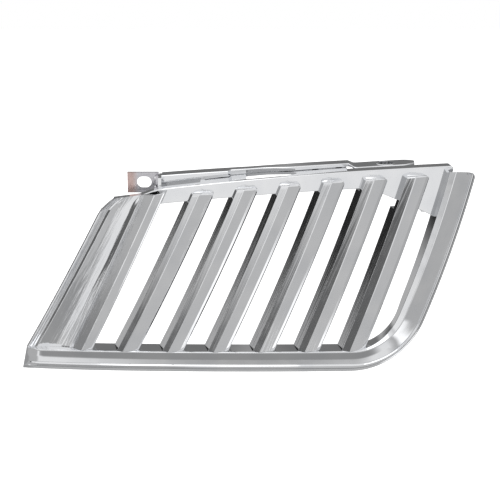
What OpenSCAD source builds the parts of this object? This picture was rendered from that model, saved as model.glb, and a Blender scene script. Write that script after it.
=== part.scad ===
// Front grille, one half, chromed moulding.
// X runs along the grille from its outer end to the centre of the car, Y runs back, Z is up.
// The finished part has its origin at the centre of the locating hole in the mounting strip.
// The dimensions below are laid out from the front ridge line at mid length.

/* [Plan shape] */
// radius of the front face seen from above
plan_r = 870; // [700:10:1500]
// radius of the gentle arch of the bottom rail seen from the front
sill_r = 3450; // [2500:50:6000]
// height of the bottom ridge below the origin at mid length
sill_z = 108; // [104:1:112]

/* [Surround] */
// X of the ridge where the lower corner starts
corner_x = 106; // [100:1:112]
// radius of the ridge round the lower corner
corner_r = 55; // [45:1:65]
// heading of the side rail just above the corner, degrees from level
side_a0 = 68; // [66:0.5:70]
// heading of the side rail at its top end
side_a1 = 76; // [73:0.5:78]
// length of the side rail along its ridge
side_len = 157; // [150:1:162]
// depth of all walls, front ridge to rear edge
depth = 25; // [22:0.5:30]
// wall thickness of the mouldings
wall = 2.6; // [2.2:0.1:3.2]

/* [Top rail] */
// height of the rail's top edge at its highest point
rail_top = 78; // [76:0.5:80]
// radius of the top edge seen from the front
rail_r = 1994; // [1700:10:2500]
// distance of the rail face behind the bar ridges
rail_y = 13; // [12:0.5:14]

/* [Bars] */
// distance from one bar to the next at mid height
pitch = 44.1; // [43:0.1:45]
// lean of the first bar from vertical
lean_1 = 25.4; // [24:0.1:27]
// change of lean from one bar to the next
lean_step = 1.2; // [1:0.1:1.4]
// radius of each bar's long curve
bar_r = 2700; // [2000:50:4000]

/* [Fixings] */
// radius of the self-tapping screws
screw_r = 1.9; // [1.7:0.05:2.1]
// radius of the locating hole in the strip
locate_r = 7.5; // [6:0.25:8]

/* [Hidden] */
$fn = 48;
chrome = [0.80, 0.81, 0.83];
steel = [0.62, 0.63, 0.65];

function arc_y(x) = plan_r - sqrt(plan_r * plan_r - x * x);
function mix(a, b, t) = a + (b - a) * t;
function clamp01(t) = t < 0 ? 0 : t > 1 ? 1 : t;
function ease(t) = let (c = clamp01(t)) c * c * (3 - 2 * c);
function floor_z(x) = -sill_z - x * x / (2 * sill_r);
function rail_z(x) = rail_top - (x - 190) * (x - 190) / (2 * rail_r);

// joins closed rings of points into one solid; flip when the rings run the other way round
module loft(rings, flip = false) {
  n = len(rings[0]);
  m = len(rings);
  q = flip ? [for (j = [m - 1 : -1 : 0]) rings[j]] : rings;
  pts = [for (r = q) for (p = r) p];
  sides = [for (j = [0 : m - 2]) for (i = [0 : n - 1])
    let (k = (i + 1) % n, a = j * n + i, b = j * n + k, c = (j + 1) * n + k, d = (j + 1) * n + i)
    for (f = [[a, b, c], [a, c, d]]) f];
  ends = [[for (i = [n - 1 : -1 : 0]) i], [for (i = [0 : n - 1]) (m - 1) * n + i]];
  polyhedron(points = pts, faces = concat(sides, ends), convexity = 12);
}

// moves the layout so that the origin is at the centre of the locating hole
hole_x = 138;
hole_y = arc_y(hole_x) + 37.5;
hole_z = rail_z(hole_x) + 1.6;
module place() { translate([-hole_x, -hole_y, 1.6 - hole_z]) children(); }

// ---- surround: bottom rail, lower corner and side rail in one channel ----
sill_x0 = -232;
sill_len = corner_x - sill_x0;
a_end = -asin(corner_x / sill_r);
turn_len = corner_r * (side_a0 - a_end) * PI / 180;
total_len = sill_len + turn_len + side_len;
cx = corner_x + corner_r * sin(-a_end);
cz = floor_z(corner_x) + corner_r * cos(a_end);
side_r = side_len / ((side_a1 - side_a0) * PI / 180);
sx = cx + corner_r * sin(side_a0);
sz = cz - corner_r * cos(side_a0);

function head(s) = s < sill_len ? -asin((sill_x0 + s) / sill_r)
  : s < sill_len + turn_len ? a_end + (s - sill_len) / corner_r * 180 / PI
  : side_a0 + (s - sill_len - turn_len) / side_r * 180 / PI;
function path(s) = s < sill_len ? [sill_x0 + s, floor_z(sill_x0 + s)]
  : s < sill_len + turn_len ? [cx + corner_r * sin(head(s)), cz - corner_r * cos(head(s))]
  : [sx + side_r * (sin(head(s)) - sin(side_a0)), sz - side_r * (cos(head(s)) - cos(side_a0))];

// channel section; t is 0 on the bottom rail and 1 at the top of the side rail
function channel(t, u) = let (
    b = mix(0, 9.5, u), a = max(mix(0, 5.5, t), b * 0.45), ay = mix(1.3, 4.2, t),
    fw = mix(16, 18, t), fd = mix(6.5, 8, t), lw = mix(8.5, 5.2, t), w = fw + lw)
  [[-b, depth], [-a, ay], [mix(0.5, -0.5, t), 0.15], [mix(1.4, 0.5, t), 0.15], [fw, fd],
   [fw + 0.16 * lw, fd - 1.3], [fw + 0.42 * lw, fd - 1.3], [fw + 0.6 * lw, fd + 0.9],
   [w - 0.7, fd + 1.5], [w, fd + 2.6], [w - 0.6, depth],
   [w - 0.6 - wall, depth], [w - wall, fd + 4.8], [fw - 0.5, fd + wall + 0.4],
   [2.9, 3.6], [wall - a, mix(4.4, 7.2, t)], [wall - b, depth]];

function ring(s) = let (
    p = path(s), h = head(s),
    t = ease((s - sill_len + 10) / (turn_len + 10)),
    u = ease((s - sill_len) / (turn_len * 1.25)) * mix(0.62, 1, clamp01((s - sill_len - turn_len) / side_len)),
    k = 0.4 * (1 - clamp01(s / 60)))
  [for (q = channel(t, u)) let (x = p[0] + q[0] * sin(h) - q[0] * k, z = p[1] - q[0] * cos(h))
    [x, q[1] + arc_y(x), z]];

// points from start to end, close together round the corner
stations = concat(
  [for (i = [0 : 17]) sill_len * i / 18],
  [for (i = [0 : 13]) sill_len + turn_len * i / 14],
  [for (i = [0 : 10]) sill_len + turn_len + side_len * i / 10]);

lug_x = [-100, 100];
module surround() {
  place() color(chrome) difference() {
    union() {
      loft([for (s = stations) ring(s)], true);
      // fixing lugs that hang behind the bottom rail
      for (x = lug_x) translate([x, arc_y(x), floor_z(x)]) difference() {
        translate([-9, depth - 4, -21]) cube([18, 3, 19.5]);
        translate([0, depth, -12]) rotate([90, 0, 0]) cylinder(r = 2.75, h = 6);
      }
      // bosses for the two screws from the top rail
      for (j = [0, 1]) side_boss(j);
    }
    for (i = [1 : 6]) foot_hole(i, screw_r + 0.3);
    for (j = [0, 1]) panel_foot(j, screw_r + 0.3);
    for (j = [0, 1]) side_pilot(j);
  }
}
// places something on the face of the top rail, its front towards the viewer
module on_rail(x, z) {
  translate([x, arc_y(x) + rail_y, z]) rotate([0, 0, asin(x / plan_r)]) children();
}
module rod_y(r, y0, y1) { translate([0, y1, 0]) rotate([90, 0, 0]) cylinder(r = r, h = y1 - y0); }

side_sx = [199.5, 204.5];
side_szz = [38, 60];
tab_back = depth + 0.3;
module at_side(j) { translate([side_sx[j], arc_y(205) + tab_back, side_szz[j]]) children(); }
module side_boss(j) { at_side(j) rod_y(4.2, [-22.3, -21.6][j], -0.3); }
module side_pilot(j) { at_side(j) rod_y(screw_r + 0.02, -8, 1); }

// ---- louvre bars ----
function lean(i) = lean_1 - lean_step * (i - 1);
function bar_x(i) = -83 + pitch * (i - 1);
function fat(i) = 1 + 0.065 * max(0, i - 3);
function tilt(i) = asin((bar_x(i) + 6) / plan_r);
mid_z = -15;

function bar_face(i) = let (f = fat(i), d = tan(10 - tilt(i)), r = tan(2 - tilt(i)))
  [[-6.0 * f - (depth - 4.2) * d, depth], [-6.0 * f, 4.2], [-0.5, 0.2], [0.5, 0.2],
   [9.6 * f, 3.1], [12.0 * f, 4.3], [13.0 * f, 5.9], [13.3 * f, 8],
   [13.3 * f - (depth - 8) * r, depth]];
function bar_core(i) = let (f = fat(i), d = tan(10 - tilt(i)), r = tan(2 - tilt(i)), w = wall)
  [[-6.0 * f + w - (depth - 4.2) * d, depth + 1], [-6.0 * f + w + 0.2, 4.2 + w],
   [0.3, 0.2 + w + 0.6], [9.2 * f, 3.1 + w + 0.2], [13.3 * f - w, 8 + w * 0.6],
   [13.3 * f - w - (depth - 8) * r, depth + 1]];

// places a section on the bar's long curve, between two headings
module bar_sweep(i, pts, up, down) {
  l = lean(i);
  x = bar_x(i);
  half = 180 / PI / bar_r;
  translate([x, arc_y(x + 3), mid_z]) rotate([0, 0, tilt(i)])
    translate([-bar_r * cos(l), 0, bar_r * sin(l)]) rotate([-90, 0, 0])
      rotate([0, 0, l - up * half]) rotate_extrude(angle = (up + down) * half, $fn = 900)
        translate([bar_r, 0]) polygon(pts);
}

function cap_z(i) = rail_z(bar_x(i) + 34) - 7.2;
function foot_x(i) = bar_x(i) - (sill_z - 15) * tan(lean(i)) - 1;
function head_x(i) = bar_x(i) + 78 * tan(lean(i));

module bar(i) {
  place() color(chrome) difference() {
    intersection() {
      union() {
        difference() {
          bar_sweep(i, bar_face(i), 105, 115);
          bar_sweep(i, bar_core(i), 105, 115);
        }
        // solid ends that take the screws
        intersection() {
          bar_sweep(i, bar_face(i), 105, 115);
          union() {
            translate([head_x(i) - 40, -20, cap_z(i) - 17]) cube([80, 80, 40]);
            translate([foot_x(i) - 40, -20, -sill_z - 30]) cube([80, 80, 38]);
          }
        }
      }
      translate([-300, -20, floor_z(foot_x(i)) + 0.12]) cube([600, 120, cap_z(i) - floor_z(foot_x(i)) - 0.12]);
    }
    rail_clear(i);
    foot_hole(i, screw_r + 0.02);
    top_hole(i, screw_r + 0.02);
  }
}

// the space the top rail takes out of a bar
module rail_clear(i) {
  x = head_x(i);
  a = asin(x / plan_r);
  low = low_z(x) - 0.3;
  translate([x, arc_y(x) + rail_y - 0.05, low]) rotate([0, -atan((190 - x) / rail_r) * 0.9, a])
    translate([-45, 0, 0]) cube([90, 60, 50]);
}

module at_foot(i) {
  x = foot_x(i) + 2;
  translate([x, arc_y(x) + 15, floor_z(x)]) children();
}
module at_top(i) { on_rail(head_x(i) + 2.2, cap_z(i) - 4.8) children(); }
module foot_hole(i, r) { at_foot(i) translate([0, 0, -4]) cylinder(r = r, h = 12.2); }
module top_hole(i, r) { at_top(i) rod_y(r, -7.6, 5); }

module bar_1() { bar(1); }
module bar_2() { bar(2); }
module bar_3() { bar(3); }
module bar_4() { bar(4); }
module bar_5() { bar(5); }
module bar_6() { bar(6); }

// ---- top rail with its gusset ----
gus_x = 118;
function low_z(x) = x < gus_x ? rail_z(x) - 16.5 - x * 0.015
  : rail_z(gus_x) - 18.3 - (x - gus_x) * 0.463;
rail_x = [-138, -130, -120, -105, -90, -70, -51, -50, -25, 0, 25, 50, 75, 97, 98, 118, 135, 150,
  165, 178, 186];
// the last rings lean with the inner wall of the side rail
function rail_ring(x) = let (
    zt = rail_z(x) - (x < -120 ? (-120 - x) * 0.2 : 0),
    zl = x < -130 ? zt - 7 : x < -120 ? zt - 11 : low_z(x),
    back = x < -50 ? 9 : x < 97.5 ? 31 : 12, g = clamp01((x - 118) / 60))
  [for (p = [[0, zl], [0, zt - 0.8], [0.8, zt], [back, zt + 0.8], [back, zt + 0.8 - wall],
      [wall, zt - wall], [wall, zl]])
    let (u = x + g * (0.265 * (p[1] - 26) - 0.2 * p[0])) [u, arc_y(u) + rail_y + p[0], p[1]]];
module top_rail() {
  place() color(chrome) difference() {
    union() {
      loft([for (x = rail_x) rail_ring(x)]);
      // tab that reaches behind the side rail
      translate([174, arc_y(176) + rail_y + 1, 31])
        cube([3, arc_y(205) - arc_y(176) + tab_back - rail_y - 1 + wall, 34]);
      translate([174, arc_y(205) + tab_back, 31]) cube([37, wall, 34]);
    }
    // long slot in the shelf of the rail
    translate([0, 0, 50]) linear_extrude(height = 60)
      polygon([[-4, 16.6], [-4, 39.6], [18, 39.2], [40, 33], [47, 27.4], [46, 22.4], [40, 19], [20, 17]]);
    for (i = [1 : 6]) top_hole(i, screw_r + 0.3);
    on_panel() rod_y(screw_r + 0.3, -1, 5);
    for (j = [0, 1]) at_side(j) rod_y(screw_r + 0.3, -1, 5);
    for (j = [0 : 2]) at_strip(j) translate([0, 0, -6]) cylinder(r = screw_r + 0.3, h = 9);
  }
}

// ---- mounting strip above the rail ----
strip_x = [-90, -80, -62, -48, -44, -20, -5, 5, 15, 22, 30, 38, 46, 60, 75, 90, 99, 102, 105, 108,
  125, 140, 155, 161, 165, 168];
function strip_dz(x) = x < 0 ? 6 - x * 0.04 : mix(6 - x * 0.016, 1.4, ease((x - 99) / 8));
function strip_ring(x) = let (
    s = ease((x - 99) / 8), e = x > 155 ? pow((x - 155) / 13, 2) : 0,
    near = x < -20 ? 20.4 : mix(27, 20.4, ease((x - 8) / 36)),
    y0 = arc_y(x) + rail_y + mix(near, 12.4, s) + 9 * e, y1 = arc_y(x) + 50 - 7 * e,
    z = rail_z(x), dz = strip_dz(x), low = x < -46 ? -2 : mix(1.1, dz - wall, s))
  [[x, y0, z + low], [x, y0, z + dz - 0.7], [x, y0 + 0.7, z + dz], [x, y1 - 0.7, z + dz + 0.4],
   [x, y1, z + dz - 0.3], [x, y1, z + dz - wall - 1.2], [x, y1 - wall, z + dz - wall - 1.2],
   [x, y1 - wall, z + dz - wall + 0.2], [x, y0 + wall, z + dz - wall - 0.01], [x, y0 + wall, z + low - 0.02]];
web_y = arc_y(-91) + rail_y + 10;
module mounting_strip() {
  place() color(chrome) difference() {
    union() {
      loft([for (x = strip_x) strip_ring(x)]);
      translate([hole_x, hole_y, hole_z - 3.4]) cylinder(r = locate_r + 2.6, h = 3.6);
      // web at the outer end that carries the tab
      translate([-93, web_y, rail_z(-91) - 9]) cube([3.6, 24, 18.4]);
      // bosses for the screws from the rail's shelf
      for (j = [0 : 2]) at_strip(j) translate([0, 0, 1.1])
        cylinder(r = 3.6, h = strip_dz(strip_sx[j]) - 2.4);
    }
    translate([hole_x, hole_y, hole_z - 10]) cylinder(r = locate_r, h = 20);
    for (j = [0 : 2]) at_strip(j) cylinder(r = screw_r + 0.02, h = 4);
    for (j = [0, 1]) at_tab(j) rotate([0, 90, 0]) cylinder(r = 1.62, h = 12, center = true);
  }
}
strip_sx = [-30, 66, 90];
module at_strip(j) {
  x = strip_sx[j];
  translate([x, arc_y(x) + 41, rail_z(x)]) children();
}

// ---- screw tab ----
tab_x = -108;
tab_y = web_y + 20;
tab_z = rail_z(-91) + 1.4;
module at_tab(j) { translate([-93, tab_y - wall - 5, tab_z - 4.5 + 9 * j]) children(); }
module screw_tab() {
  place() color(chrome) difference() {
    union() {
      translate([-125, tab_y - wall, tab_z - 10.5]) cube([31.9, wall, 21]);
      // rims along the top and bottom edges
      translate([-125, tab_y - wall - 1.2, tab_z + 9.2]) cube([31.9, 1.3, 1.3]);
      translate([-125, tab_y - wall - 1.2, tab_z - 10.5]) cube([31.9, 1.3, 1.3]);
      // flange against the web
      translate([-95.6, tab_y - wall - 9.5, tab_z - 8.6]) cube([2.5, 9.6, 17]);
    }
    translate([tab_x - 1.6, tab_y + 2, tab_z]) rotate([90, 0, 0]) cylinder(r = 5.9, h = 8);
    translate([tab_x + 1.6, tab_y + 2, tab_z]) rotate([90, 0, 0]) cylinder(r = 5.9, h = 8);
    translate([tab_x - 1.6, tab_y - 6, tab_z - 5.9]) cube([3.2, 8, 11.8]);
    for (j = [0, 1]) at_tab(j) rotate([0, 90, 0]) cylinder(r = 1.62, h = 12, center = true);
  }
}
module tab_rivets() {
  place() color(steel) for (j = [0, 1]) at_tab(j) rotate([0, 90, 0]) {
    translate([0, 0, -2.6]) cylinder(r = 1.6, h = 6.3);
    translate([0, 0, -3.9]) cylinder(r = 3, h = 1.3);
    translate([0, 0, 3.65]) cylinder(r = 2.4, h = 1.2);
  }
}

// ---- end panel ----
function left_x(z) = -181.5 + (z + 15) * 0.553 + (z > 34 ? 7.6 * pow((z - 34) / 14.7, 2) : 0);
function right_x(z) = -115.8 + (z + 15) * 0.49;
function panel_top(x) = rail_z(x) - 4.5;
// the rear edge steps forward where the top rail passes behind the panel
function panel_ring(v) = let (
    zn = mix(-112, 49, v), l = left_x(zn), r = right_x(zn), m = (l + 12 + r - 22) / 2,
    rear = v < 0.93 ? depth - 0.2 : rail_y - 0.5, cap = v < 0.93 ? depth : rail_y - 0.6)
  [for (p = [[l + 0.6, rear], [l, 10], [l + 0.9, 7.7], [l + 2.8, 7.5], [l + 3.8, 9], [l + 9, 8.2],
      [l + 12, 8.9], [m - 8, 10.1], [m, 10.6], [m + 7, 10.4], [r - 22, 9.4], [r - 12.4, 1.3],
      [r - 11.4, 0.4], [r - 10, 0.4], [r - 2, 3.7], [r - 0.5, 4.6], [r, 6.4], [r - 1.4, rear],
      [r - 1.4 - wall, rear], [r - wall, 8], [r - 10.2, 3.7], [r - 20.6, min(12.4, cap)],
      [m + 7, min(13.2, cap)], [m, min(13.4, cap)], [m - 8, min(12.9, cap)], [l + 12, 11.7],
      [l + 3.4, 11.8], [l + 0.6 + wall, rear]])
    let (x = p[0], y = p[1] + arc_y(p[0])) [x, y, mix(floor_z(x) + 0.12, panel_top(x), v)]];
module end_panel() {
  place() color(chrome) difference() {
    union() {
      loft([for (v = [0, 0.3, 0.6, 0.9, 0.926, 0.94, 1])
        panel_ring(v)], true);
      // foot bosses
      for (j = [0, 1]) at_panel_foot(j) translate([-4.4, -4.4, 0.7]) cube([8.8, 8.8, 12.3]);
    }
    for (j = [0, 1]) at_panel_foot(j) cylinder(r = screw_r + 0.02, h = 8.2);
    on_panel() rod_y(screw_r + 0.02, -3.2, 1);
  }
}
foot_px = [-203, -178];
module at_panel_foot(j) {
  x = foot_px[j];
  translate([x, arc_y(x) + 16, floor_z(x)]) children();
}
module panel_foot(j, r) { at_panel_foot(j) translate([0, 0, -4]) cylinder(r = r, h = 6); }
module on_panel() { on_rail(-130, 45) children(); }

// ---- screws, all driven from behind or below ----
module screw(len) {
  difference() {
    union() {
      cylinder(r = screw_r, h = len);
      translate([0, 0, -2.2]) cylinder(r = 3.6, h = 2.2);
    }
    translate([-2.2, -0.5, -3]) cube([4.4, 1, 2]);
    translate([-0.5, -2.2, -3]) cube([1, 4.4, 2]);
  }
}
module bar_top_screws() {
  place() color(steel) for (i = [1 : 6]) at_top(i) translate([0, wall + 0.02, 0]) rotate([90, 0, 0]) screw(10);
}
module bar_foot_screws() {
  place() color(steel) for (i = [1 : 6]) at_foot(i) translate([0, 0, -wall - 0.5]) screw(10.5);
}
module panel_screws() {
  place() color(steel) {
    on_panel() translate([0, wall + 0.02, 0]) rotate([90, 0, 0]) screw(5.6);
    for (j = [0, 1]) at_panel_foot(j) translate([0, 0, -wall - 0.5]) screw(10.5);
  }
}
module side_screws() {
  place() color(steel) for (j = [0, 1]) at_side(j) translate([0, wall + 0.02, 0]) rotate([90, 0, 0]) screw(10);
}
module strip_screws() {
  place() color(steel) for (j = [0 : 2]) at_strip(j) translate([0, 0, -wall + 0.6]) screw(5.6);
}

surround();
end_panel();
top_rail();
mounting_strip();
screw_tab();
bar_1();
bar_2();
bar_3();
bar_4();
bar_5();
bar_6();
bar_top_screws();
bar_foot_screws();
panel_screws();
side_screws();
strip_screws();
tab_rivets();
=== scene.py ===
import bmesh
import bpy
import math
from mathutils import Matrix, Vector


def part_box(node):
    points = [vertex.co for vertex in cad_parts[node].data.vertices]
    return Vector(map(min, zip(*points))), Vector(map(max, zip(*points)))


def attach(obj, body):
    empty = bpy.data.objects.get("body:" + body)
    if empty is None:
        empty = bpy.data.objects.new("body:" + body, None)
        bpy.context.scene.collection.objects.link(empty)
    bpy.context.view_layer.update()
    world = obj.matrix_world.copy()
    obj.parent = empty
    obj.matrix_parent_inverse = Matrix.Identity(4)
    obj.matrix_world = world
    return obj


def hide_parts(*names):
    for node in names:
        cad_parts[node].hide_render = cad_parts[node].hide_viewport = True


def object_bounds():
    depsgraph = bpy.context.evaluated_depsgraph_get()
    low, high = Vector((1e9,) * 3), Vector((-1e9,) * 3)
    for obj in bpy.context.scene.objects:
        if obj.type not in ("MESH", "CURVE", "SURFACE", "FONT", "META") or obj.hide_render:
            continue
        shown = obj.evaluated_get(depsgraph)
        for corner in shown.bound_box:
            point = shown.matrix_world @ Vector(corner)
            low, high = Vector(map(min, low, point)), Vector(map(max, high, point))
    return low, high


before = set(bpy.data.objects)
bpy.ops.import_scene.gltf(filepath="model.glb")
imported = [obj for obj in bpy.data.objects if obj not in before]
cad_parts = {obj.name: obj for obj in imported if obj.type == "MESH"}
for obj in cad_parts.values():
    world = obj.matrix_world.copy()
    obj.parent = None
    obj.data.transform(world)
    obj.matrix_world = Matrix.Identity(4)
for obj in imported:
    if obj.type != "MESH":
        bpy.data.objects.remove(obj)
cad_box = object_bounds()
scene = bpy.context.scene

# The grille's driving dimensions in millimetres and degrees, in the layout that the CAD source
# uses: X along the grille, Y back, Z up, from the front ridge line at mid length. R is a radius,
# A a heading, XS a list of places along X.
PLAN_R = 870
SILL_R = 3450
SILL_Z = 108
RAIL_TOP = 78
RAIL_R = 1994
RAIL_Y = 13
DEPTH = 25
WALL = 2.6
CORNER_X = 106
CORNER_R = 55
SIDE_A0 = 68
SIDE_A1 = 76
SIDE_LEN = 157
SILL_X0 = -232
PITCH = 44.1
LEAN_1 = 25.4
LEAN_STEP = 1.2
BAR_R = 2700
MID_Z = -15
HOLE_X = 138
HOLE_R = 7.5
PILOT_R = 1.92
LUG_XS = (-100, 100)
LUG_HOLE_R = 2.75
PANEL_FOOT_XS = (-203, -178)
STRIP_BOSS_XS = (-30, 66, 90)
SIDE_BOSS_X = 205
BARS = 6
MM = 0.001

# The camera and the table, in metres and degrees, and the camera's sensor in millimetres.
CAMERA_RISE = 15
CAMERA_AWAY = 1.35
VIEW_WIDTH = 0.5
SENSOR = 36
TABLE_DROP = 0.25


def arc_y(x):
    """How far the front face has swept back at x."""
    return PLAN_R - math.sqrt(PLAN_R ** 2 - x ** 2)


def floor_z(x):
    return -SILL_Z - x ** 2 / (2 * SILL_R)


def rail_z(x):
    return RAIL_TOP - (x - 190) ** 2 / (2 * RAIL_R)


def low_z(x):
    """Lower edge of the top rail, with the gusset at its inner end."""
    if x < 118:
        return rail_z(x) - 16.5 - x * 0.015
    return rail_z(118) - 18.3 - (x - 118) * 0.463


def mix(a, b, t):
    return a + (b - a) * t


def clamp01(t):
    return min(1.0, max(0.0, t))


def ease(t):
    c = clamp01(t)
    return c * c * (3 - 2 * c)


def fall(t, radius, reach=0.95):
    """How far a round corner of that radius has dropped, t (0 to 1) of the way across it."""
    return radius * (1 - math.sqrt(1 - reach * t * t))


def spread(a, b, n):
    """n + 1 even steps from a to b."""
    return [mix(a, b, k / n) for k in range(n + 1)]


HOLE_Y = arc_y(HOLE_X) + 37.5
ORIGIN = Vector((HOLE_X, HOLE_Y, rail_z(HOLE_X)))


def to_part(p):
    """A layout point in millimetres, as a point of the part in metres."""
    return (Vector(p) - ORIGIN) * MM


# ---- mesh tools ----

def rounded(points, radii, steps=4):
    """A closed outline with each corner turned into a smooth curve of steps + 1 points."""
    out = []
    n = len(points)
    for k, p in enumerate(points):
        here = Vector(p)
        back = Vector(points[k - 1]) - here
        on = Vector(points[(k + 1) % n]) - here
        half = max(0.02, back.angle(on, math.pi) / 2)
        reach = radii[k] / math.tan(half) if half < 1.55 else radii[k] * 0.3
        reach = min(max(reach, 0.05), 0.46 * back.length, 0.46 * on.length)
        start = here + back.normalized() * reach
        end = here + on.normalized() * reach
        for j in range(steps + 1):
            t = j / steps
            out.append(start * (1 - t) ** 2 + here * (2 * t * (1 - t)) + end * t ** 2)
    return out


def inset(outline, d):
    """An outline moved inwards by d; the outline runs with its inside on the right."""
    out = []
    n = len(outline)
    for k, p in enumerate(outline):
        along = outline[(k + 1) % n] - outline[k - 1]
        if along.length < 1e-9:
            out.append(p)
            continue
        out.append(p + Vector((along.y, -along.x)).normalized() * d)
    return out


def skin(bm, rings, ends=True):
    """Joins closed rings of layout points into a shell in bm, with flat ends."""
    rows = [[bm.verts.new(to_part(p)) for p in ring] for ring in rings]
    n = len(rows[0])
    for a, b in zip(rows, rows[1:]):
        for k in range(n):
            m = (k + 1) % n
            bm.faces.new((a[k], a[m], b[m], b[k]))
    if ends:
        for row in (rows[0], rows[-1]):
            bm.faces.new(row)
    return rows


def lathe(bm, centre, axis, profile, n=32):
    """A ring of revolution: profile is a closed list of (radius, distance along the axis)."""
    turn = Vector((0, 0, 1)).rotation_difference(Vector(axis))
    rows = []
    for k in range(n):
        a = 2 * math.pi * k / n
        ray = Vector((math.cos(a), math.sin(a), 0))
        rows.append([bm.verts.new(to_part(Vector(centre) + turn @ (ray * r + Vector((0, 0, h)))))
                     for r, h in profile])
    for k in range(n):
        a, b = rows[k], rows[(k + 1) % n]
        for j in range(len(profile)):
            m = (j + 1) % len(profile)
            bm.faces.new((a[j], a[m], b[m], b[j]))


def holed_plate(bm, centre, size, hole_r, thick, soft=2.5, n=48):
    """An upright plate facing the front, with a round hole at its centre and soft corners."""
    cx, cy, cz = centre
    rows = []
    for k in range(n):
        a = 2 * math.pi * k / n
        c, s = math.cos(a), math.sin(a)
        power = 2 * size[0] / soft
        r = (abs(2 * c / size[0]) ** power + abs(2 * s / size[1]) ** power) ** (-1 / power)
        edge = 0.4
        rows.append([bm.verts.new(to_part((cx + c * q, cy + y, cz + s * q))) for q, y in (
            (hole_r, edge), (hole_r + edge, 0), (r - edge, 0), (r, edge),
            (r, thick - edge), (r - edge, thick), (hole_r + edge, thick), (hole_r, thick - edge))])
    for k in range(n):
        a, b = rows[k], rows[(k + 1) % n]
        for j in range(8):
            m = (j + 1) % 8
            bm.faces.new((a[j], a[m], b[m], b[j]))


def block(bm, low, high, soft=0.5):
    """A box with bevelled edges."""
    size = Vector(high) - Vector(low)
    middle = (Vector(high) + Vector(low)) / 2
    made = bmesh.ops.create_cube(bm, size=1)
    for v in made["verts"]:
        v.co = to_part(middle + Vector(v.co[k] * size[k] for k in range(3)))
    # each edge once, in an order that is the same every run
    edges = list(dict.fromkeys(e for v in made["verts"] for e in v.link_edges))
    bmesh.ops.bevel(bm, geom=edges, offset=soft * MM, segments=2, profile=0.5, affect="EDGES")


def piece(name, bm, material, slot, *nodes, angle=32):
    """Turns bm into a smooth-shaded object that rides on the grille and stands for its CAD nodes."""
    bmesh.ops.recalc_face_normals(bm, faces=bm.faces)
    mesh = bpy.data.meshes.new(name)
    limit = math.radians(angle)
    for f in bm.faces:
        f.smooth = True
    for e in bm.edges:
        e.smooth = not (len(e.link_faces) == 2 and e.calc_face_angle(0) > limit)
    bm.to_mesh(mesh)
    bm.free()
    obj = bpy.data.objects.new(name, mesh)
    scene.collection.objects.link(obj)
    mesh.materials.append(material)
    weighted = obj.modifiers.new("normals", "WEIGHTED_NORMAL")
    weighted.keep_sharp = True
    weighted.weight = 90
    if nodes:
        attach(obj, "root")
        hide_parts(*nodes)
    return obj


def cut(bm, outline, low, high):
    """Makes a straight-sided hole through bm, over an outline of layout X and Y, as a new mesh."""
    hole = bmesh.new()
    skin(hole, [[(p.x, p.y, z) for p in outline] for z in (low, high)])
    blank = piece("blank", bm, CHROME, None)
    cutter = piece("cutter", hole, CHROME, None)
    blank.modifiers.clear()
    m = blank.modifiers.new("cut", "BOOLEAN")
    m.operation = "DIFFERENCE"
    m.solver = "EXACT"
    m.object = cutter
    bpy.context.view_layer.update()
    done = bpy.data.meshes.new_from_object(blank.evaluated_get(bpy.context.evaluated_depsgraph_get()))
    bpy.data.objects.remove(blank)
    bpy.data.objects.remove(cutter)
    out = bmesh.new()
    out.from_mesh(done)
    return out


# ---- materials ----

def material(name):
    m = bpy.data.materials.new(name)
    m.use_nodes = True
    return m, m.node_tree.nodes, m.node_tree.links, m.node_tree.nodes["Principled BSDF"]


def noise(nodes, links, scale, detail=2.0, coords="Object"):
    where = nodes.new("ShaderNodeTexCoord")
    n = nodes.new("ShaderNodeTexNoise")
    n.inputs["Scale"].default_value = scale
    n.inputs["Detail"].default_value = detail
    links.new(where.outputs[coords], n.inputs["Vector"])
    return n.outputs["Fac"]


def ramp(nodes, links, value, low, high, start=0.0, end=1.0):
    r = nodes.new("ShaderNodeMapRange")
    r.inputs["From Min"].default_value = start
    r.inputs["From Max"].default_value = end
    r.inputs["To Min"].default_value = low
    r.inputs["To Max"].default_value = high
    links.new(value, r.inputs["Value"])
    return r.outputs["Result"]


def bump(nodes, links, bsdf, height, strength, distance):
    b = nodes.new("ShaderNodeBump")
    b.inputs["Strength"].default_value = strength
    b.inputs["Distance"].default_value = distance
    links.new(height, b.inputs["Height"])
    links.new(b.outputs["Normal"], bsdf.inputs["Normal"])


def tinted(nodes, links, value, dark, light, start=0.3, end=0.7):
    r = nodes.new("ShaderNodeValToRGB")
    r.color_ramp.elements[0].position = start
    r.color_ramp.elements[0].color = (*dark, 1)
    r.color_ramp.elements[1].position = end
    r.color_ramp.elements[1].color = (*light, 1)
    links.new(value, r.inputs["Fac"])
    return r.outputs["Color"]


# darkest and lightest colour of the cloudiness in the plating
PLATING = ((0.80, 0.81, 0.83), (0.88, 0.885, 0.895))


def chrome_material():
    """Bright plated plastic: a mirror with faint cloudiness and a very shallow ripple."""
    m, nodes, links, bsdf = material("chrome_plating")
    bsdf.inputs["Metallic"].default_value = 1
    cloud = noise(nodes, links, 38, 3)
    links.new(tinted(nodes, links, cloud, *PLATING), bsdf.inputs["Base Color"])
    dull = noise(nodes, links, 70, 4)
    links.new(ramp(nodes, links, dull, 0.035, 0.10, 0.25, 0.75), bsdf.inputs["Roughness"])
    bump(nodes, links, bsdf, noise(nodes, links, 55, 1), 0.12, 0.0004)
    return m


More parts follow.
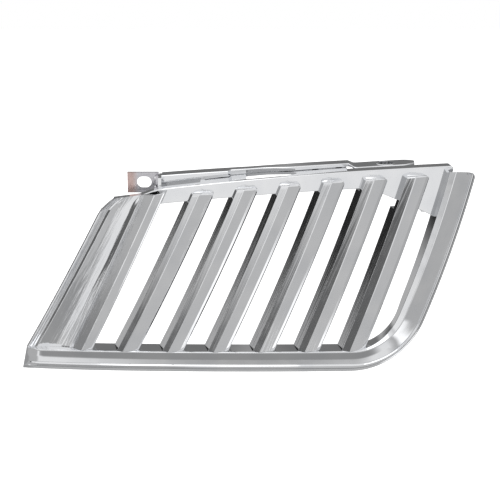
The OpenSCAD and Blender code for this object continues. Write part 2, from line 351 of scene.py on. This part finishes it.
def zinc_material():
    m, nodes, links, bsdf = material("zinc_screws")
    bsdf.inputs["Metallic"].default_value = 1
    grain = noise(nodes, links, 600, 3)
    steel = tinted(nodes, links, grain, (0.50, 0.50, 0.52), (0.66, 0.66, 0.67))
    links.new(steel, bsdf.inputs["Base Color"])
    links.new(ramp(nodes, links, grain, 0.22, 0.42, 0.3, 0.7), bsdf.inputs["Roughness"])
    bump(nodes, links, bsdf, grain, 0.2, 0.0002)
    return m


def tab_material():
    """Thin plating on the tab, with a warm cast towards its outer end."""
    m, nodes, links, bsdf = material("tab_plating")
    bsdf.inputs["Metallic"].default_value = 1
    where = nodes.new("ShaderNodeTexCoord")
    split = nodes.new("ShaderNodeSeparateXYZ")
    links.new(where.outputs["Object"], split.inputs["Vector"])
    low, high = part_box("screw_tab")
    side = ramp(nodes, links, split.outputs["X"], 1, 0, low.x, mix(low.x, high.x, 0.38))
    warm = tinted(nodes, links, side, (0.62, 0.61, 0.64), (0.62, 0.47, 0.44), 0.1, 0.6)
    links.new(warm, bsdf.inputs["Base Color"])
    grain = noise(nodes, links, 260, 3)
    links.new(ramp(nodes, links, grain, 0.14, 0.30, 0.3, 0.7), bsdf.inputs["Roughness"])
    bump(nodes, links, bsdf, grain, 0.15, 0.0003)
    return m


def drawn_chrome_material(name, angle, across, strength):
    """The same plating on the bars and the panel, with fine ripples that run along them."""
    m, nodes, links, bsdf = material(name)
    bsdf.inputs["Metallic"].default_value = 1
    cloud = noise(nodes, links, 30, 3)
    links.new(tinted(nodes, links, cloud, *PLATING), bsdf.inputs["Base Color"])
    dull = noise(nodes, links, 70, 4)
    links.new(ramp(nodes, links, dull, 0.04, 0.11, 0.25, 0.75), bsdf.inputs["Roughness"])
    where = nodes.new("ShaderNodeTexCoord")
    turn = nodes.new("ShaderNodeMapping")
    turn.vector_type = "TEXTURE"
    turn.inputs["Rotation"].default_value = (0, math.radians(angle), 0)
    squeeze = nodes.new("ShaderNodeMapping")
    squeeze.inputs["Scale"].default_value = (across, across, across / 60)
    links.new(where.outputs["Object"], turn.inputs["Vector"])
    links.new(turn.outputs["Vector"], squeeze.inputs["Vector"])
    streak = nodes.new("ShaderNodeTexNoise")
    streak.inputs["Scale"].default_value = 1
    streak.inputs["Detail"].default_value = 3
    links.new(squeeze.outputs["Vector"], streak.inputs["Vector"])
    bump(nodes, links, bsdf, streak.outputs["Fac"], strength, 0.0005)
    return m


CHROME = chrome_material()
DRAWN = drawn_chrome_material("chrome_plating_bars", 22.5, 420, 0.24)
PANEL_CHROME = drawn_chrome_material("chrome_plating_panel", 28, 520, 0.3)
ZINC = zinc_material()
TAB = tab_material()


# ---- surround: bottom rail, lower corner and side rail ----

A_END = -math.degrees(math.asin(CORNER_X / SILL_R))
SILL_LEN = CORNER_X - SILL_X0
TURN_LEN = CORNER_R * math.radians(SIDE_A0 - A_END)
CORNER = (CORNER_X + CORNER_R * math.sin(math.radians(-A_END)),
          floor_z(CORNER_X) + CORNER_R * math.cos(math.radians(A_END)))
SIDE_R = SIDE_LEN / math.radians(SIDE_A1 - SIDE_A0)


def heading(s):
    if s < SILL_LEN:
        return -math.asin((SILL_X0 + s) / SILL_R)
    if s < SILL_LEN + TURN_LEN:
        return math.radians(A_END) + (s - SILL_LEN) / CORNER_R
    return math.radians(SIDE_A0) + (s - SILL_LEN - TURN_LEN) / SIDE_R


def ridge(s):
    """X and Z of the surround's front ridge, s millimetres along it."""
    if s < SILL_LEN:
        return SILL_X0 + s, floor_z(SILL_X0 + s)
    h = heading(s)
    if s < SILL_LEN + TURN_LEN:
        return CORNER[0] + CORNER_R * math.sin(h), CORNER[1] - CORNER_R * math.cos(h)
    a = math.radians(SIDE_A0)
    return (CORNER[0] + CORNER_R * math.sin(a) + SIDE_R * (math.sin(h) - math.sin(a)),
            CORNER[1] - CORNER_R * math.cos(a) - SIDE_R * (math.cos(h) - math.cos(a)))


def channel(t, u):
    """Section of the surround; t is 0 on the bottom rail and 1 at the top of the side rail."""
    b = mix(0, 9.5, u)
    a = max(mix(0, 5.5, t), b * 0.45)
    ay = mix(1.3, 4.2, t)
    fw = mix(16, 18, t)
    fd = mix(6.5, 8, t)
    lw = mix(8.5, 5.2, t)
    w = fw + lw
    hollow = mix(0.55, 0.15, t)
    return [(-b, DEPTH), (-a, ay), (mix(0.5, -0.5, t), 0.15), (mix(1.4, 0.5, t), 0.15),
            (fw * 0.5 + 0.5, fd * 0.5 + hollow), (fw, fd),
            (fw + 0.16 * lw, fd - 1.3), (fw + 0.42 * lw, fd - 1.3), (fw + 0.6 * lw, fd + 0.9),
            (w - 0.7, fd + 1.5), (w, fd + 2.6), (w - 0.6, DEPTH),
            (w - 0.6 - WALL, DEPTH), (w - WALL, fd + 4.8), (fw - 0.5, fd + WALL + 0.4),
            (2.9, 3.6), (WALL - a, mix(4.4, 7.2, t)), (WALL - b, DEPTH)]


CHANNEL_ROUND = [0.4, 1.2, 0.6, 0.6, 30, 0.5, 0.5, 0.8, 0.7, 0.6, 0.8, 0.4, 0.4, 1, 1, 1, 1, 0.4]


# length of the visible ridge, to the level top end of the side rail
RIDGE_LEN = SILL_LEN + TURN_LEN + SIDE_LEN + 0.5


def surround_ring(s):
    t = ease((s - SILL_LEN + 10) / (TURN_LEN + 10))
    up = clamp01((s - SILL_LEN - TURN_LEN) / SIDE_LEN)
    u = ease((s - SILL_LEN) / (TURN_LEN * 1.25)) * mix(0.62, 1, up)
    mitre = 1 - clamp01(s / 60)
    near_top = ease((s - RIDGE_LEN + 24) / 24)
    corner = 1 - ease((s - 3) / 11)
    ring = []
    for q in rounded(channel(t, u), CHANNEL_ROUND):
        # the top end is cut back towards the rear, with a round outer corner
        outer = clamp01((q.x - 14) / 9.2)
        here = s - near_top * (0.26 * q.y - 0.2 * q.x + fall(outer, 7.5))
        x0, z0 = ridge(here)
        h = heading(here)
        y = q.y
        if y < 12:
            # at the outer corner the ridge falls back into a flat plate
            y = mix(y, max(y, 5.4 + 0.14 * q.x + (y > 0.15 + 0.45 * q.x + 1.5) * WALL), corner)
        x = x0 + q.x * math.sin(h) - (q.x * 0.3 + 2.4) * mitre
        ring.append((x, y + arc_y(x), z0 - q.x * math.cos(h)))
    return ring


def surround():
    bm = bmesh.new()
    stops = (spread(0, SILL_LEN, 90) + spread(SILL_LEN, SILL_LEN + TURN_LEN, 48)[1:]
             + spread(SILL_LEN + TURN_LEN, RIDGE_LEN, 40)[1:])
    skin(bm, [surround_ring(s) for s in stops])
    for x in LUG_XS:
        holed_plate(bm, (x, arc_y(x) + DEPTH - 4, floor_z(x) - 11.5), (18, 19), LUG_HOLE_R, 3)
    for x, z, start in ((199.5, 38, -22.3), (204.5, 60, -21.6)):
        lathe(bm, (x, arc_y(SIDE_BOSS_X) + DEPTH + 0.3, z), (0, 1, 0),
              [(PILOT_R, -8), (PILOT_R, -0.6), (2.2, -0.3), (3.9, -0.3), (4.2, -0.6), (4.2, start),
               (0.4, start), (0.4, -8)])
    return piece("surround_chrome", bm, CHROME, "chrome_plating", "surround")


# ---- louvre bars ----

def lean(i):
    return math.radians(LEAN_1 - LEAN_STEP * (i - 1))


def bar_x(i):
    return -83 + PITCH * (i - 1)


def fat(i):
    return 1 + 0.065 * max(0, i - 3)


def tilt(i):
    return math.asin((bar_x(i) + 6) / PLAN_R)


def cap_z(i):
    return rail_z(bar_x(i) + 34) - 7.2


def foot_x(i):
    return bar_x(i) - (SILL_Z - 15) * math.tan(lean(i)) - 1


def head_x(i):
    return bar_x(i) + 78 * math.tan(lean(i))


BAR_ROUND = [0.3, 0.5, 0.35, 0.35, 0.8, 0.9, 0.9, 1.2, 0.3, 0.3, 1, 1, 1, 1, 0.3]


def bar_section(i, rear, solid):
    """Section of a bar down to the depth rear: an open channel, or closed at its ends."""
    f = fat(i)
    left = math.tan(math.radians(10) - tilt(i))
    right = math.tan(math.radians(2) - tilt(i))
    outer = [(-6 * f - (rear - 4.2) * left, rear), (-6 * f, 4.2), (-0.5, 0.2), (0.5, 0.2),
             (9.6 * f, 3.1), (12 * f, 4.3), (13 * f, 5.9), (13.3 * f, 8),
             (13.3 * f - (rear - 8) * right, rear)]
    core = [(13.3 * f - WALL - (rear - 8) * right, rear), (13.3 * f - WALL, 8 + WALL * 0.6),
            (9.2 * f, 3.3 + WALL), (0.3, 0.8 + WALL), (-6 * f + WALL + 0.2, 4.2 + WALL),
            (-6 * f + WALL - (rear - 4.2) * left, rear)]
    if solid:
        first, last = core[0][0], core[-1][0]
        core = [(mix(first, last, k / 5), rear) for k in range(6)]
    return rounded(outer + core, BAR_ROUND)


def bar_point(i, q, z):
    """A point of the bar's long curve at height z, q.x across and q.y back in its section."""
    a = lean(i)
    rise = BAR_R * math.sin(a) + MID_Z
    phi = math.asin((rise - z) / (BAR_R + q.x))
    x = (BAR_R + q.x) * math.cos(phi) - BAR_R * math.cos(a)
    t = tilt(i)
    return (bar_x(i) + x * math.cos(t) - q.y * math.sin(t),
            arc_y(bar_x(i) + 3) + x * math.sin(t) + q.y * math.cos(t), z)


def bar(i):
    bm = bmesh.new()
    top = cap_z(i)
    notch = low_z(head_x(i)) - 0.3
    solid_top = min(top - 17, notch - 4)
    shoulder = 4.5
    solid_foot = -SILL_Z + 8
    edge = 0.8
    rear_top = RAIL_Y - 0.1
    rings = []

    def drop(q):
        """How far the top edge falls away towards the bar's right and left sides."""
        right = clamp01((q.x - 13.3 * fat(i) + shoulder) / shoulder)
        left = clamp01((-6 * fat(i) + 2 - q.x) / 2)
        return fall(right, shoulder, 0.96) + fall(left, 2, 0.96)

    for k in range(5):
        a = math.pi / 2 * k / 4
        shape = inset(bar_section(i, rear_top, True), -edge * (1 - math.sin(a)))
        rings.append([bar_point(i, q, top - drop(q) - edge * (1 - math.cos(a))) for q in shape])
    for share in (0.3, 0.6, 1):
        shape = bar_section(i, rear_top, True)
        rings.append([bar_point(i, q, mix(top - drop(q) - edge, notch, share)) for q in shape])
    for z in spread(notch, solid_top, 4):
        rings.append([bar_point(i, q, z) for q in bar_section(i, DEPTH, True)])
    for z in spread(solid_top, solid_foot, 60):
        rings.append([bar_point(i, q, z) for q in bar_section(i, DEPTH, False)])
    shape = bar_section(i, DEPTH, True)
    rings.append([bar_point(i, q, solid_foot) for q in shape])
    foot = [bar_point(i, q, floor_z(foot_x(i))) for q in shape]
    foot = [bar_point(i, q, floor_z(p[0]) + 0.12) for q, p in zip(shape, foot)]
    rings.append(foot)
    rows = skin(bm, rings, ends=False)
    bm.faces.new(rows[-1])
    crown = rows[0]
    middle = sum((v.co for v in crown), Vector()) / len(crown)
    middle.z = max(v.co.z for v in crown)
    middle = bm.verts.new(middle)
    for k, v in enumerate(crown):
        bm.faces.new((middle, crown[k - 1], v))
    name = "bar_%d" % i
    return piece(name + "_chrome", bm, DRAWN, "chrome_plating", name)


# ---- end panel ----

def left_x(z):
    return -181.5 + (z + 15) * 0.553 + (7.6 * ((z - 34) / 14.7) ** 2 if z > 34 else 0)


def right_x(z):
    return -115.8 + (z + 15) * 0.49


PANEL_ROUND = [0.4, 1.2, 0.8, 0.5, 0.6, 0.6, 0.6, 0.8, 3, 12, 20, 12, 2, 0.8, 0.8, 0.8, 0.5, 0.5,
               0.8, 0.8, 1.2, 0.4, 0.4, 1, 1, 2, 8, 12, 8, 2, 1, 0.4]


def panel_ring(v):
    z = mix(-112, 49, v)
    l, r = left_x(z), right_x(z)
    m = (l + 12 + r - 22) / 2
    rear = DEPTH - 0.2 if v < 0.93 else RAIL_Y - 0.5
    cap = DEPTH if v < 0.93 else RAIL_Y - 0.6
    shape = [(l + 0.6, rear), (l, 10), (l + 0.9, 7.7), (l + 2.8, 7.5), (l + 3.8, 9.8), (l + 6, 8.2),
             (l + 7, 8.4), (l + 8.6, 9.9), (l + 12, 8.9), (m - 8, 10.3), (m, 10.6), (m + 7, 10.4),
             (r - 24, 8.6), (r - 22.4, 10.2), (r - 21, 8.8), (r - 12.4, 1.3),
             (r - 11.4, 0.4), (r - 10, 0.4), (r - 2, 3.7), (r - 0.5, 4.6), (r, 6.4), (r - 1.4, rear),
             (r - 1.4 - WALL, rear), (r - WALL, 8), (r - 10.2, 3.7), (r - 20.6, min(12.4, cap)),
             (m + 7, min(13.2, cap)), (m, min(13.4, cap)), (m - 8, min(12.9, cap)), (l + 12, 11.7),
             (l + 3.4, 11.8), (l + 0.6 + WALL, rear)]
    ring = []
    for q in rounded(shape, PANEL_ROUND):
        z = mix(floor_z(q.x) + 0.12, rail_z(q.x) - 3.2, v)
        ring.append((q.x, q.y + arc_y(q.x), z))
    return ring


def end_panel():
    bm = bmesh.new()
    skin(bm, [panel_ring(v) for v in spread(0, 0.928, 36) + spread(0.932, 1, 6)])
    for x in PANEL_FOOT_XS:
        lathe(bm, (x, arc_y(x) + 16, floor_z(x)), (0, 0, 1),
              [(PILOT_R, 0.7), (4.4, 0.7), (4.4, 12.6), (4, 13), (0.4, 13), (0.4, 8.2), (PILOT_R, 8.2)])
    return piece("end_panel_chrome", bm, PANEL_CHROME, "chrome_plating", "end_panel")


# ---- top rail ----

def rail_ring(x):
    zt = rail_z(x) - 4.4 * ease((-90 - x) / 25)
    zl = low_z(x)
    if x < -120:
        zl = mix(zt - 11, zt - 7, clamp01((-122 - x) / 8))
    back = 9 if x < -50 else 31 if x < 97.5 else 12
    g = clamp01((x - 118) / 60)
    last = clamp01((x - 189) / 4)
    zt -= fall(last, 3.5)
    shape = [(0, zl), (0, zt - 0.8), (0.8, zt), (back, zt + 0.8), (back, zt + 0.8 - WALL),
             (WALL, zt - WALL), (WALL, zl)]
    ring = []
    for q in rounded(shape, [0.6, 0.6, 0.6, 0.5, 0.5, 0.8, 0.6]):
        u = x + g * (0.265 * (q.y - 26) - 0.2 * q.x)
        ring.append((u, arc_y(u) + RAIL_Y + q.x, q.y))
    return ring


def top_rail():
    bm = bmesh.new()
    stops = (spread(-138, -50.01, 22) + spread(-50, 97.4, 36) + spread(97.6, 189, 20)
             + spread(189.5, 193, 8))
    skin(bm, [rail_ring(x) for x in stops])
    slot = [(-4, 16.6), (-4, 39.6), (18, 39.2), (40, 33), (47, 27.4), (46, 22.4), (40, 19), (20, 17)]
    bm = cut(bm, rounded(slot, [2, 2, 3, 4, 2, 2, 3, 3]), 50, 110)
    # the end plate that the side rail is screwed to, and the step that carries it
    plate_y = arc_y(SIDE_BOSS_X) + 25.3
    block(bm, (174, arc_y(176) + RAIL_Y + 1, 31), (177, plate_y + WALL, 65))
    block(bm, (174.6, plate_y, 31), (211, plate_y + WALL, 65))
    return piece("top_rail_chrome", bm, CHROME, "chrome_plating", "top_rail")


# ---- mounting strip ----

def strip_dz(x):
    return 6 - x * 0.04 if x < 0 else mix(6 - x * 0.016, 1.4, ease((x - 99) / 8))


def strip_ring(x):
    s = ease((x - 99) / 8)
    e = ((x - 155) / 13) ** 2 if x > 155 else 0
    near = 20.4 if x < -20 else mix(27, 20.4, ease((x - 8) / 36))
    y0 = arc_y(x) + RAIL_Y + mix(near, 12.4, s) + 9 * e
    y1 = arc_y(x) + 49.8 - 7 * e
    z = rail_z(x)
    dz = strip_dz(x)
    low = -2 if x < -46 else mix(1.1, dz - WALL, s)
    shape = [(y0, z + low), (y0, z + dz - 0.7), (y0 + 0.7, z + dz), (y1 - 0.7, z + dz + 0.4),
             (y1, z + dz - 0.3), (y1, z + dz - WALL - 1.2), (y1 - WALL, z + dz - WALL - 1.2),
             (y1 - WALL, z + dz - WALL + 0.2), (y0 + WALL, z + dz - WALL - 0.01),
             (y0 + WALL, z + low - 0.02)]
    return [(x, q.x, q.y) for q in rounded(shape, [0.4, 0.5, 0.5, 0.5, 0.5, 0.4, 0.4, 0.4, 0.4, 0.4], 3)]


def mounting_strip():
    bm = bmesh.new()
    skin(bm, [strip_ring(x) for x in spread(-90, -46.1, 12) + spread(-45.9, 168, 72)])
    circle = [Vector((HOLE_X + HOLE_R * math.cos(a), HOLE_Y + HOLE_R * math.sin(a)))
              for a in (2 * math.pi * k / 64 for k in range(64))]
    bm = cut(bm, circle, 60, 110)
    # the web that carries the tab, the collar of the locating hole, and the screw bosses
    web_y = arc_y(-91) + RAIL_Y + 10
    block(bm, (-93, web_y, rail_z(-91) - 9), (-89.4, web_y + 24, rail_z(-91) + 9.4))
    lathe(bm, (HOLE_X, HOLE_Y, rail_z(HOLE_X)), (0, 0, 1),
          [(HOLE_R, -1.5), (HOLE_R + 0.3, -1.8), (9.8, -1.8), (10.1, -1.5),
           (10.1, 1.5), (9.8, 1.8), (HOLE_R + 0.3, 1.8), (HOLE_R, 1.5)], 64)
    for x in STRIP_BOSS_XS:
        tall = strip_dz(x) - 2.4
        lathe(bm, (x, arc_y(x) + 41, rail_z(x) + 1.1), (0, 0, 1),
              [(1.62, 0), (3.3, 0), (3.6, 0.3), (3.6, tall), (1.62, tall)])
    return piece("mounting_strip_chrome", bm, CHROME, "chrome_plating", "mounting_strip")


surround()
end_panel()
for number in range(1, BARS + 1):
    bar(number)
top_rail()
mounting_strip()

for name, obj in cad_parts.items():
    obj.data.materials.clear()
    finish = ZINC if "screws" in name or "rivets" in name else TAB if name == "screw_tab" else CHROME
    obj.data.materials.append(finish)


# ---- camera, studio and floor ----

def in_front(elevation, distance, target):
    """A camera place straight in front of the grille, raised by elevation degrees."""
    e = math.radians(elevation)
    return target + Vector((0, -math.cos(e), math.sin(e))) * distance


lens = bpy.data.cameras.new("camera")
camera = bpy.data.objects.new("camera", lens)
scene.collection.objects.link(camera)
camera.location = in_front(CAMERA_RISE, CAMERA_AWAY, -ORIGIN * MM)
camera.rotation_euler = (math.radians(90 - CAMERA_RISE), 0, 0)
lens.sensor_width = SENSOR
lens.lens = SENSOR / VIEW_WIDTH * CAMERA_AWAY
scene.camera = camera
scene.view_settings.view_transform = "Standard"

# the world is the studio for the chrome, and plain white for the camera
world = bpy.data.worlds.new("studio")
scene.world = world
world.use_nodes = True
wn, wl = world.node_tree.nodes, world.node_tree.links


# The studio the chrome reflects: broad soft panels, and dark flags between them. Each has its
# azimuth range, elevation range, soft edge (all in degrees) and brightness; azimuth 0 is in front
# of the grille and 90 on its right, and later ones cover earlier ones.
PANELS = [
    (-180, 180, 32, 90, 12, 0.90),     # softbox overhead
    (-180, 180, -90, -60, 6, 0.30),    # shade under the grille
    (-180, 180, -57, -48, 6, 0.85),    # white table in front
    (-85, 70, 8, 30, 5, 0.90),         # pale wall above eye level
    (-50, 42, -17, -4, 5, 0.87),       # pale wall below eye level
    (-54, -12, -36, -19, 5, 0.34),     # grey flag, front left
    (-10, 64, -44, -17, 5, 0.54),      # grey flag, front right
    (44, 74, -44, -32, 3, 1.25),       # white strip, low on the right
    (-85, -26, -5, 6, 2, 0.13),        # dark flag on the left
    (-112, -87, -10, 4, 3, 0.26),      # dark flag, far left
    (160, 180, 6, 28, 5, 0.18),        # dark backdrop behind the grille
    (-180, -160, 6, 28, 5, 0.18),      # and its other half
    (-166, -136, -4, 14, 3, 0.02),     # black flag behind, on the left
    (98, 152, -62, -12, 8, 0.05),      # black flag behind, on the right
]
BASE = 0.46


def maths(operation, a, b=None):
    n = wn.new("ShaderNodeMath")
    n.operation = operation
    for socket, source in zip(n.inputs, (a, b)):
        if source is None:
            continue
        if isinstance(source, (int, float)):
            socket.default_value = source
        else:
            wl.new(source, socket)
    return n.outputs[0]


def within(value, low, high, soft):
    """1 where value is between low and high, falling to 0 over soft on each side."""
    out = None
    for start, end in ((low - soft / 2, low + soft / 2), (high + soft / 2, high - soft / 2)):
        r = wn.new("ShaderNodeMapRange")
        r.interpolation_type = "SMOOTHSTEP"
        r.inputs["From Min"].default_value = start
        r.inputs["From Max"].default_value = end
        wl.new(value, r.inputs["Value"])
        out = r.outputs["Result"] if out is None else maths("MULTIPLY", out, r.outputs["Result"])
    return out


where = wn.new("ShaderNodeTexCoord")
split = wn.new("ShaderNodeSeparateXYZ")
wl.new(where.outputs["Generated"], split.inputs["Vector"])
to_front = maths("MULTIPLY", split.outputs["Y"], -1.0)
azimuth = maths("DEGREES", maths("ARCTAN2", split.outputs["X"], to_front))
elevation = maths("DEGREES", maths("ARCSINE", split.outputs["Z"]))
tone = BASE
for az0, az1, el0, el1, soft, bright in PANELS:
    blend = wn.new("ShaderNodeMix")
    inside = within(elevation, el0, el1, soft)
    if az1 - az0 < 360:
        inside = maths("MULTIPLY", inside, within(azimuth, az0, az1, soft))
    wl.new(inside, blend.inputs["Factor"])
    if tone is BASE:
        blend.inputs["A"].default_value = BASE
    else:
        wl.new(tone, blend.inputs["A"])
    blend.inputs["B"].default_value = bright
    tone = blend.outputs["Result"]
path = wn.new("ShaderNodeLightPath")
shown = wn.new("ShaderNodeMix")
wl.new(path.outputs["Is Camera Ray"], shown.inputs["Factor"])
wl.new(tone, shown.inputs["A"])
shown.inputs["B"].default_value = 1.0
wl.new(shown.outputs["Result"], wn["Background"].inputs["Color"])


# a white table, which the camera sees; the chrome reflects the soft panels in its place
bm = bmesh.new()
bmesh.ops.create_grid(bm, x_segments=1, y_segments=1, size=6)
mesh = bpy.data.meshes.new("table")
bm.to_mesh(mesh)
bm.free()
table = bpy.data.objects.new("table", mesh)
scene.collection.objects.link(table)
white, _, _, bsdf = material("table")
bsdf.inputs["Base Color"].default_value = (0.5, 0.5, 0.5, 1)
bsdf.inputs["Roughness"].default_value = 0.6
bsdf.inputs["Emission Color"].default_value = (1, 1, 1, 1)
bsdf.inputs["Emission Strength"].default_value = 0.98
mesh.materials.append(white)
table.visible_glossy = False
table.visible_shadow = False
table.location = (0, 0, cad_box[0].z - TABLE_DROP)

soft_light = bpy.data.lights.new("soft_light", "AREA")
soft_light.energy = 4
soft_light.size = 1.2
lamp = bpy.data.objects.new("soft_light", soft_light)
scene.collection.objects.link(lamp)
lamp.location = (-0.5, -0.9, 1.5)
lamp.rotation_euler = (math.radians(32), 0, math.radians(-24))
